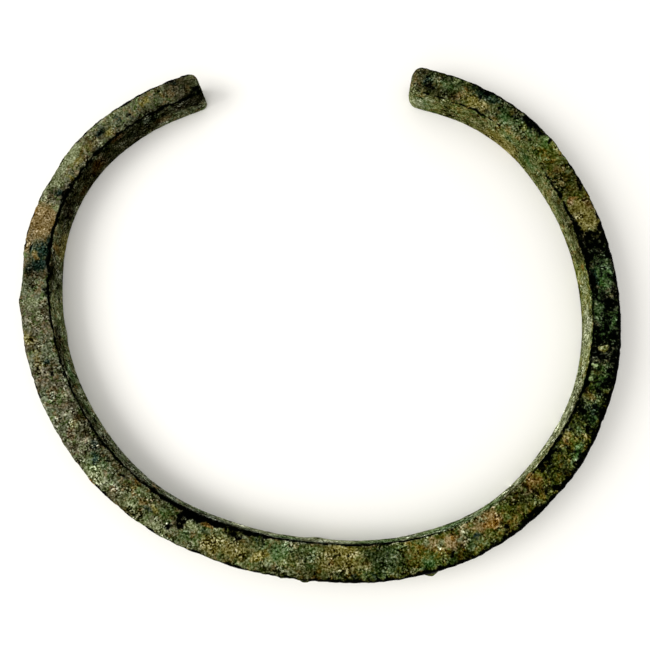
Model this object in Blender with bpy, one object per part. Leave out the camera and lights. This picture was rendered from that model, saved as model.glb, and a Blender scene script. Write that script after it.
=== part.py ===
"""An ancient bronze bangle: one solid bar of oblong section, thickest at the back,
thinner towards two plain ends, bent to an open oval. It lies flat, its mouth towards +Y.
Metres, +Z up, with the origin on the ground under the middle of the bangle."""

import math

import bmesh
import bpy
from mathutils import Vector

# The oval, over its outer edge
WIDTH = 0.0660
DEPTH = 0.0573

# The bar: its height as it lies, and its thickness seen from above
HEIGHT = 0.0043
LEFT_TIP_THICK = 0.0028
LEFT_SIDE_THICK = 0.0031
LEFT_BACK_THICK = 0.0036
BACK_THICK = 0.0038
RIGHT_BACK_THICK = 0.0035
RIGHT_SIDE_THICK = 0.0031
RIGHT_TIP_THICK = 0.0032

# Worn roundings of the bar's four long edges
OUTER_EDGE_ROUND = 0.0003
INNER_EDGE_ROUND = 0.00025

# The two ends: where they stand in degrees anticlockwise from +X, how far the cut is
# off square, and the roundings of its corners seen from above and of its upper and lower edges
LEFT_END = 116.2
LEFT_END_SKEW = 3.0
LEFT_CORNER_ROUND = 0.0008
LEFT_TIP_EDGE_ROUND = 0.0003
RIGHT_END = 68.3
RIGHT_END_SKEW = -6.0
RIGHT_CORNER_ROUND = 0.0012
RIGHT_TIP_EDGE_ROUND = 0.0009
SKEW_REACH = 0.0045

# The outer edge round the oval: degrees from +X, and distance from its middle as a share of half its width
OVAL = (
    (10, 1.000),
    (30, 1.000),
    (42, 0.998),
    (53, 0.981),
    (68, 0.943),
    (90, 0.935),
    (117, 0.965),
    (130, 1.001),
    (145, 1.031),
    (160, 1.029),
    (175, 0.996),
    (190, 0.965),
    (210, 0.922),
    (230, 0.886),
    (250, 0.859),
    (270, 0.862),
    (290, 0.904),
    (310, 0.952),
    (330, 0.985),
    (350, 0.999),
)

# The bar's thickness, at shares of the way from the left end round to the right one
TAPER = (
    (0.00, LEFT_TIP_THICK),
    (0.10, LEFT_TIP_THICK),
    (0.16, LEFT_SIDE_THICK),
    (0.27, LEFT_BACK_THICK),
    (0.36, LEFT_BACK_THICK),
    (0.43, BACK_THICK),
    (0.56, BACK_THICK),
    (0.63, RIGHT_BACK_THICK),
    (0.68, RIGHT_BACK_THICK),
    (0.74, RIGHT_SIDE_THICK),
    (0.92, RIGHT_SIDE_THICK),
    (1.00, RIGHT_TIP_THICK),
)

# Lumps and hollows of the worn and corroded surface: degrees from +X, place across the bar from its outer
# face at 0 to its inner face at 1, place up it from 0 to 1, rise in metres and reach in metres
RELIEF = (
    (121, 0.5, 1.0, 0.00008, 0.0020),
    (139, 0.0, 0.7, 0.00010, 0.0016),
    (152, 0.0, 0.6, -0.00034, 0.0018),
    (158, 0.6, 1.0, -0.00010, 0.0016),
    (166, 0.3, 1.0, 0.00008, 0.0014),
    (172, 0.0, 0.6, -0.00032, 0.0016),
    (178, 0.0, 0.7, 0.00044, 0.0010),
    (184, 1.0, 0.2, 0.00024, 0.0010),
    (205, 0.4, 1.0, -0.00008, 0.0020),
    (218, 0.0, 0.8, 0.00018, 0.0011),
    (236, 0.0, 0.6, 0.00006, 0.0013),
    (246, 0.9, 1.0, -0.00012, 0.0018),
    (254, 0.0, 0.5, 0.00010, 0.0020),
    (263, 0.0, 0.8, 0.00008, 0.0009),
    (269, 0.0, 0.7, 0.00016, 0.0011),
    (270, 1.0, 0.2, 0.00024, 0.0010),
    (294, 0.0, 0.7, 0.00046, 0.0007),
    (299, 0.0, 0.6, 0.00014, 0.0013),
    (303, 0.0, 0.6, 0.00018, 0.0013),
    (314, 0.5, 1.0, 0.00008, 0.0018),
    (325, 0.0, 0.6, 0.00015, 0.0016),
    (340, 0.5, 1.0, -0.00008, 0.0020),
    (353, 0.0, 0.6, 0.00012, 0.0014),
    (371, 0.7, 1.0, 0.00008, 0.0016),
    (396, 0.0, 0.8, 0.00006, 0.0010),
    (414, 0.0, 0.6, -0.00014, 0.0018),
    (424, 0.4, 1.0, -0.00010, 0.0012),
)

# How finely the bar is divided: evenly along it, and over each rounded end, edge and flat face
STATIONS = 132
TIP_STEPS = 4
EDGE_STEPS = 3
ACROSS_STEPS = 4
UP_STEPS = 4

# No rounding takes more than this share of the face it runs along
MOST_ROUND_SHARE = 0.4
# Sections stand no closer than this share of their even spacing
LEAST_SPACING_SHARE = 0.35
# Degrees to each side over which the oval's direction is read, and from which an edge shades as sharp
SLOPE_STEP = 0.5
SHARP_ANGLE = 40.0
FULL_TURN = 360.0
BRONZE = (0.075, 0.068, 0.030, 1.0)


def smooth_value(places, where):
    """The value at where on a smooth curve through (position, value) pairs in rising order."""
    where = min(max(where, places[1][0]), places[-2][0])
    after = next(i for i in range(2, len(places)) if places[i][0] >= where)
    before = after - 1
    span = places[after][0] - places[before][0]
    part = (where - places[before][0]) / span
    slopes = []
    for i in (before, after):
        low = places[i - 1]
        high = places[min(i + 1, len(places) - 1)]
        slopes.append((high[1] - low[1]) / (high[0] - low[0]) * span)
    start = places[before][1]
    end = places[after][1]
    return (
        (2 * part**3 - 3 * part**2 + 1) * start
        + (part**3 - 2 * part**2 + part) * slopes[0]
        + (3 * part**2 - 2 * part**3) * end
        + (part**3 - part**2) * slopes[1]
    )


def closed_round(places):
    """The places of a full turn, repeated on both sides so that the curve through them closes."""
    before = [(angle - FULL_TURN, value) for angle, value in places[-3:]]
    after = [(angle + FULL_TURN, value) for angle, value in places[:3]]
    return before + list(places) + after


def with_ends(places):
    """The places of an open curve, with its first and last repeated a little further out."""
    first = (2 * places[0][0] - places[1][0], places[0][1])
    last = (2 * places[-1][0] - places[-2][0], places[-1][1])
    return [first] + list(places) + [last]


CLOSED_OVAL = closed_round(OVAL)
OPEN_TAPER = with_ends(TAPER)
SWEEP = FULL_TURN - (LEFT_END - RIGHT_END)


def oval_shape(angle):
    """The outer edge at an angle, before it is brought to its width and depth."""
    reach = smooth_value(CLOSED_OVAL, angle % FULL_TURN)
    return Vector((reach * math.cos(math.radians(angle)), reach * math.sin(math.radians(angle)), 0.0))


def oval_scale():
    """What brings the oval to its width and depth."""
    points = [oval_shape(LEFT_END + SWEEP * i / STATIONS) for i in range(STATIONS + 1)]
    across = max(p.x for p in points) - min(p.x for p in points)
    along = max(p.y for p in points) - min(p.y for p in points)
    return Vector((WIDTH / across, DEPTH / along, 1.0))


SCALE = oval_scale()


def outer_edge(angle):
    """The outer edge at an angle, with the directions along the bar and in towards the middle."""
    point = oval_shape(angle) * SCALE
    along = (oval_shape(angle + SLOPE_STEP) - oval_shape(angle - SLOPE_STEP)) * SCALE
    along.normalize()
    inward = Vector((-along.y, along.x, 0.0))
    return point, along, inward


def thickness(angle):
    return smooth_value(OPEN_TAPER, (angle - LEFT_END) / SWEEP)


def rounded_inset(distance, rounding):
    """How far a rounded corner stands back at a distance from the end."""
    short = max(rounding - max(distance, 0.0), 0.0)
    return rounding - math.sqrt(rounding**2 - short**2)


def section(thick, side_inset, edge_inset):
    """The bar's section from its outer face at 0 inwards and from the ground up: (across, up, way out) each."""
    left = side_inset
    right = thick - side_inset
    low = edge_inset
    high = HEIGHT - edge_inset
    most = MOST_ROUND_SHARE * min(right - left, high - low)
    outer = min(OUTER_EDGE_ROUND, most)
    inner = min(INNER_EDGE_ROUND, most)
    corners = (
        (left + outer, low + outer, outer, 270, UP_STEPS),
        (left + outer, high - outer, outer, 180, ACROSS_STEPS),
        (right - inner, high - inner, inner, 90, UP_STEPS),
        (right - inner, low + inner, inner, 0, ACROSS_STEPS),
    )
    ring = []
    for across, up, rounding, start, flat_steps in corners:
        for step in range(EDGE_STEPS + 1):
            turn = math.radians(start - 90 * step / EDGE_STEPS)
            way = (math.cos(turn), math.sin(turn))
            ring.append((across + rounding * way[0], up + rounding * way[1], way, flat_steps))
    return with_flats_divided(ring)


def with_flats_divided(ring):
    """The ring with further points on the flat faces between its rounded corners."""
    divided = []
    for i, (across, up, way, flat_steps) in enumerate(ring):
        divided.append((across, up, way))
        if (i + 1) % (EDGE_STEPS + 1):
            continue
        next_across, next_up, _, _ = ring[(i + 1) % len(ring)]
        for step in range(1, flat_steps):
            part = step / flat_steps
            divided.append((across + (next_across - across) * part, up + (next_up - up) * part, way))
    return divided


def relief_centres():
    """Each lump or hollow as its centre, rise and reach."""
    centres = []
    for angle, across, up, rise, reach in RELIEF:
        point, _, inward = outer_edge(angle)
        centre = point + inward * (across * thickness(angle)) + Vector((0.0, 0.0, up * HEIGHT))
        centres.append((centre, rise, reach))
    return centres


CENTRES = relief_centres()


def relief_at(point):
    """How far the surface stands out at a point. It fades out downwards, so the underside stays flat."""
    off_ground = min(point.z / OUTER_EDGE_ROUND, 1.0)
    return off_ground * sum(
        rise * math.exp(-(((point - centre).length / reach) ** 2)) for centre, rise, reach in CENTRES
    )


def nearest_end(angle):
    """The distance along the bar to the nearer end, and that end's roundings and the slope of its cut."""
    from_left = math.radians(angle - LEFT_END) * outer_edge(LEFT_END)[0].length
    from_right = math.radians(LEFT_END + SWEEP - angle) * outer_edge(RIGHT_END)[0].length
    if from_left < from_right:
        return from_left, LEFT_CORNER_ROUND, LEFT_TIP_EDGE_ROUND, -math.tan(math.radians(LEFT_END_SKEW))
    return from_right, RIGHT_CORNER_ROUND, RIGHT_TIP_EDGE_ROUND, math.tan(math.radians(RIGHT_END_SKEW))


def tip_angles():
    """Where sections stand over the two rounded ends, at even turns of the rounding."""
    found = []
    for end, way, corner in ((LEFT_END, 1, LEFT_CORNER_ROUND), (LEFT_END + SWEEP, -1, RIGHT_CORNER_ROUND)):
        radius = outer_edge(end)[0].length
        for step in range(TIP_STEPS + 1):
            distance = corner * (1 - math.cos(math.pi / 2 * step / TIP_STEPS))
            found.append(end + way * math.degrees(distance / radius))
    return found


def station_angles():
    """Where the bar's sections stand: over its ends, on each lump and hollow, and evenly between them."""
    spacing = SWEEP / STATIONS
    least = LEAST_SPACING_SHARE * spacing
    found = tip_angles()
    first = found[TIP_STEPS] + least
    last = found[-1] - least
    on_relief = [place[0] for place in RELIEF]
    evenly = [LEFT_END + spacing * i for i in range(1, STATIONS)]
    for angle in on_relief + evenly:
        if first < angle < last and min(abs(angle - other) for other in found) > least:
            found.append(angle)
    return sorted(found)


def bar_section(angle):
    """One section of the bar in place."""
    point, along, inward = outer_edge(angle)
    thick = thickness(angle)
    distance, corner, edge, slope = nearest_end(angle)
    corner = min(corner, MOST_ROUND_SHARE * thick)
    edge = min(edge, MOST_ROUND_SHARE * HEIGHT)
    fade = max(0.0, 1.0 - distance / SKEW_REACH)
    ring = []
    for across, up, way in section(thick, rounded_inset(distance, corner), rounded_inset(distance, edge)):
        shear = slope * (across - thick / 2) * fade
        place = point + inward * across + along * shear + Vector((0.0, 0.0, up))
        out = inward * way[0] + Vector((0.0, 0.0, max(way[1], 0.0)))
        ring.append(place + out * relief_at(place))
    return ring


def loft(rings):
    """A closed mesh through the rings, with a flat face on each end."""
    mesh = bmesh.new()
    rows = [[mesh.verts.new(point) for point in ring] for ring in rings]
    for row, following in zip(rows, rows[1:]):
        for i in range(len(row)):
            j = (i + 1) % len(row)
            mesh.faces.new((row[i], row[j], following[j], following[i]))
    mesh.faces.new(rows[0])
    mesh.faces.new(rows[-1])
    bmesh.ops.recalc_face_normals(mesh, faces=mesh.faces)
    return mesh


def centred(rings):
    """The rings moved so that the middle of their box is above the origin."""
    xs = [point.x for ring in rings for point in ring]
    ys = [point.y for ring in rings for point in ring]
    middle = Vector(((min(xs) + max(xs)) / 2, (min(ys) + max(ys)) / 2, 0.0))
    return [[point - middle for point in ring] for ring in rings]


def bronze():
    """Dull bronze under a green and brown crust."""
    material = bpy.data.materials.new("patinated_bronze")
    material.use_nodes = True
    shader = material.node_tree.nodes["Principled BSDF"]
    shader.inputs["Base Color"].default_value = BRONZE
    shader.inputs["Roughness"].default_value = 0.7
    shader.inputs["Metallic"].default_value = 0.15
    material.diffuse_color = BRONZE
    return material


def main():
    for item in list(bpy.data.objects):
        bpy.data.objects.remove(item)
    parts = bpy.data.collections.new("bangle_parts")
    bpy.context.scene.collection.children.link(parts)

    shape = loft(centred([bar_section(angle) for angle in station_angles()]))
    mesh = bpy.data.meshes.new("bangle")
    shape.to_mesh(mesh)
    shape.free()
    mesh.shade_smooth()
    mesh.set_sharp_from_angle(angle=math.radians(SHARP_ANGLE))
    mesh.materials.append(bronze())
    bangle = bpy.data.objects.new("bangle", mesh)
    parts.objects.link(bangle)


main()
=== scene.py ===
"""The finished bangle: its corroded surface, its patina, the pale floor, the light and the camera.
The bar repeats the solid's own sizes, divided finely enough to carry pits, crust and worn edges.
Metres, +Z up, the bangle lying flat with its mouth towards +Y."""

import math

import bpy
import numpy as np
from mathutils import Euler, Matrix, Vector, noise


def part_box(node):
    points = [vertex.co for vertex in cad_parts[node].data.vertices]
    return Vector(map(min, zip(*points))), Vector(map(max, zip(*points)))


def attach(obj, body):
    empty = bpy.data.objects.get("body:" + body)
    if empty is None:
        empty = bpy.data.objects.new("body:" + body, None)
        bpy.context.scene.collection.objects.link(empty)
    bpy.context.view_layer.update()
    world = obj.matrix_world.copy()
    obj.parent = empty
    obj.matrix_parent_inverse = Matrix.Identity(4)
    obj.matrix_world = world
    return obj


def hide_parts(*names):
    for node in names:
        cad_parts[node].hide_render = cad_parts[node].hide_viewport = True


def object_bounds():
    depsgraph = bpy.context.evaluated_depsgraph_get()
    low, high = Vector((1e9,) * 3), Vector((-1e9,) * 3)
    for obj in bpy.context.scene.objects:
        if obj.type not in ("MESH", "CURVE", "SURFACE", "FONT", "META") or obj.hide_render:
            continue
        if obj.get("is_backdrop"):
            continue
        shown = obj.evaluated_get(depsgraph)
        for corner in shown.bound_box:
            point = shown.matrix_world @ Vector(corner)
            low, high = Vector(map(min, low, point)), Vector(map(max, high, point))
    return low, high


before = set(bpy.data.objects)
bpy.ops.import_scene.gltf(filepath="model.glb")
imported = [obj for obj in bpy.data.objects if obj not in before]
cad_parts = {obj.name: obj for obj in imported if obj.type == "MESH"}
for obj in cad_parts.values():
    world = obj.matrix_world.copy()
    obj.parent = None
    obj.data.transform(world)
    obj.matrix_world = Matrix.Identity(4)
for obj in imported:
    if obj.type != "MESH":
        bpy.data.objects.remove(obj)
SOLID_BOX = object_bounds()

MM = 0.001
FULL_TURN = 360.0

# The oval, over its outer edge, and the bar's height
WIDTH = 66.0 * MM
DEPTH = 57.3 * MM
HEIGHT = 4.3 * MM

# Roundings of the bar's long edges
OUTER_EDGE_ROUND = 0.3 * MM
INNER_EDGE_ROUND = 0.25 * MM

# The two ends: degrees from +X, slope of the cut, and roundings seen from above and along the upper and
# lower edges
LEFT_END = 116.2
LEFT_END_SKEW = 3.0
LEFT_CORNER_ROUND = 0.8 * MM
LEFT_TIP_EDGE_ROUND = 0.3 * MM
RIGHT_END = 68.3
RIGHT_END_SKEW = -6.0
RIGHT_CORNER_ROUND = 1.2 * MM
RIGHT_TIP_EDGE_ROUND = 0.9 * MM
SKEW_REACH = 4.5 * MM
SWEEP = FULL_TURN - (LEFT_END - RIGHT_END)

# The outer edge: degrees from +X, and distance from the oval's middle as a share of half its width
OVAL = (
    (10, 1.000), (30, 1.000), (42, 0.998), (53, 0.981), (68, 0.943), (90, 0.935),
    (117, 0.965), (130, 1.001), (145, 1.031), (160, 1.029), (175, 0.996), (190, 0.965),
    (210, 0.922), (230, 0.886), (250, 0.859), (270, 0.862), (290, 0.904), (310, 0.952),
    (330, 0.985), (350, 0.999),
)

# The bar's thickness seen from above, at shares of the way from the left end round to the right one
TAPER = (
    (0.00, 2.8 * MM), (0.10, 2.8 * MM), (0.16, 3.1 * MM), (0.27, 3.6 * MM),
    (0.36, 3.6 * MM), (0.43, 3.8 * MM), (0.56, 3.8 * MM), (0.63, 3.5 * MM),
    (0.68, 3.5 * MM), (0.74, 3.1 * MM), (0.92, 3.1 * MM), (1.00, 3.2 * MM),
)

# How far the inner top edge is worn round, by degrees along the bar
INNER_WEAR = (
    (116, 0.25 * MM), (150, 0.25 * MM), (190, 0.32 * MM), (250, 0.28 * MM),
    (300, 0.36 * MM), (330, 0.28 * MM), (370, 0.28 * MM), (396, 0.60 * MM),
    (408, 0.50 * MM), (416, 0.30 * MM), (422, 0.60 * MM), (429, 0.90 * MM),
)

# Lumps and hollows: degrees from +X, place across the bar from its outer face at 0 to its inner face at 1,
# place up it from 0 to 1, and rise and reach in millimetres
RELIEF = (
    (121, 0.5, 1.0, 0.08, 2.0), (139, 0.0, 0.7, 0.10, 1.6), (152, 0.0, 0.6, -0.34, 1.8),
    (158, 0.6, 1.0, -0.10, 1.6), (166, 0.3, 1.0, 0.08, 1.4), (172, 0.0, 0.6, -0.32, 1.6),
    (178, 0.0, 0.7, 0.48, 1.2), (184, 1.0, 0.2, 0.24, 1.0), (188, 0.0, 0.8, 0.12, 0.9),
    (198, 0.0, 0.8, 0.14, 0.6), (205, 0.4, 1.0, -0.08, 2.0), (218, 0.0, 0.8, 0.26, 0.7),
    (236, 0.0, 0.6, 0.14, 1.3), (246, 0.9, 1.0, -0.12, 1.8), (254, 0.0, 0.5, 0.10, 2.0),
    (263.5, 0.0, 0.8, 0.20, 0.5), (268.5, 0.0, 0.8, 0.30, 0.7), (270, 1.0, 0.2, 0.24, 1.0),
    (294, 0.0, 0.7, 0.46, 0.7), (299, 0.0, 0.6, 0.14, 1.3), (303, 0.0, 0.6, 0.18, 1.3),
    (314, 0.5, 1.0, 0.08, 1.8), (320, 0.0, 0.6, -0.10, 2.8), (340, 0.5, 1.0, -0.08, 2.0),
    (350, 0.0, 0.6, 0.12, 2.2), (371, 0.7, 1.0, 0.08, 1.6), (396, 0.0, 0.8, 0.16, 0.7),
    (414, 0.0, 0.6, -0.14, 1.8), (424, 0.4, 1.0, -0.10, 1.2),
)

# How finely the bar is divided
STATIONS = 1280
TIP_STATIONS = 10
CORNER_STEPS = 4
OUTER_STEPS = 9
TOP_STEPS = 30
INNER_STEPS = 14
UNDER_STEPS = 6
CAP_SHARES = (0.90, 0.76, 0.60, 0.44, 0.28, 0.12)

# The most of a side that one rounding takes, and how far to each side, in degrees, the oval's slope is
# measured
MOST_ROUND_SHARE = 0.4
SLOPE_STEP = 0.5

# The corroded surface: size of its features and how far they stand out or go in. Pits gather in patches
CRUST_SIZE = 0.9 * MM
CRUST_RISE = 0.060 * MM
GRAIN_SIZE = 0.42 * MM
GRAIN_RISE = 0.050 * MM
PIT_SPACING = 1.3 * MM
PIT_REACH = 0.30
PIT_DEPTH = 0.12 * MM
PIT_PATCH_SIZE = 3.0 * MM
PIT_PATCH_CONTRAST = 1.2

# How far from its middle, in grain sizes, a grain neither stands out nor lies in, the share of crust,
# grains and pits on the smoother inner face, and the depth from the lowest hollows to the highest grains
GRAIN_MIDDLE = 0.45
SMOOTH_FACE_SHARE = 0.4
RELIEF_RANGE = 0.2 * MM

# How noises are built up: roughness of a fractal, and how much finer each of its octaves is
FRACTAL_ROUGHNESS = 0.8
FRACTAL_STEP = 2.1

# How many millimetres aside each noise is taken, so that no two agree
ASIDE = {
    "crust": 0.0,
    "grains": 3.0,
    "pits": 11.0,
    "pit_patches": 7.0,
    "stains_along": 21.0,
    "stains_round": 37.0,
    "edge_black_and_shade_bands": 51.0,
}

# How the borders of stains and edge bands wander: size of the wave and how far it goes
WANDER_SIZE = 1.1 * MM
STAIN_WANDER = 0.45 * MM
BAND_WANDER = 0.22 * MM
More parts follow.
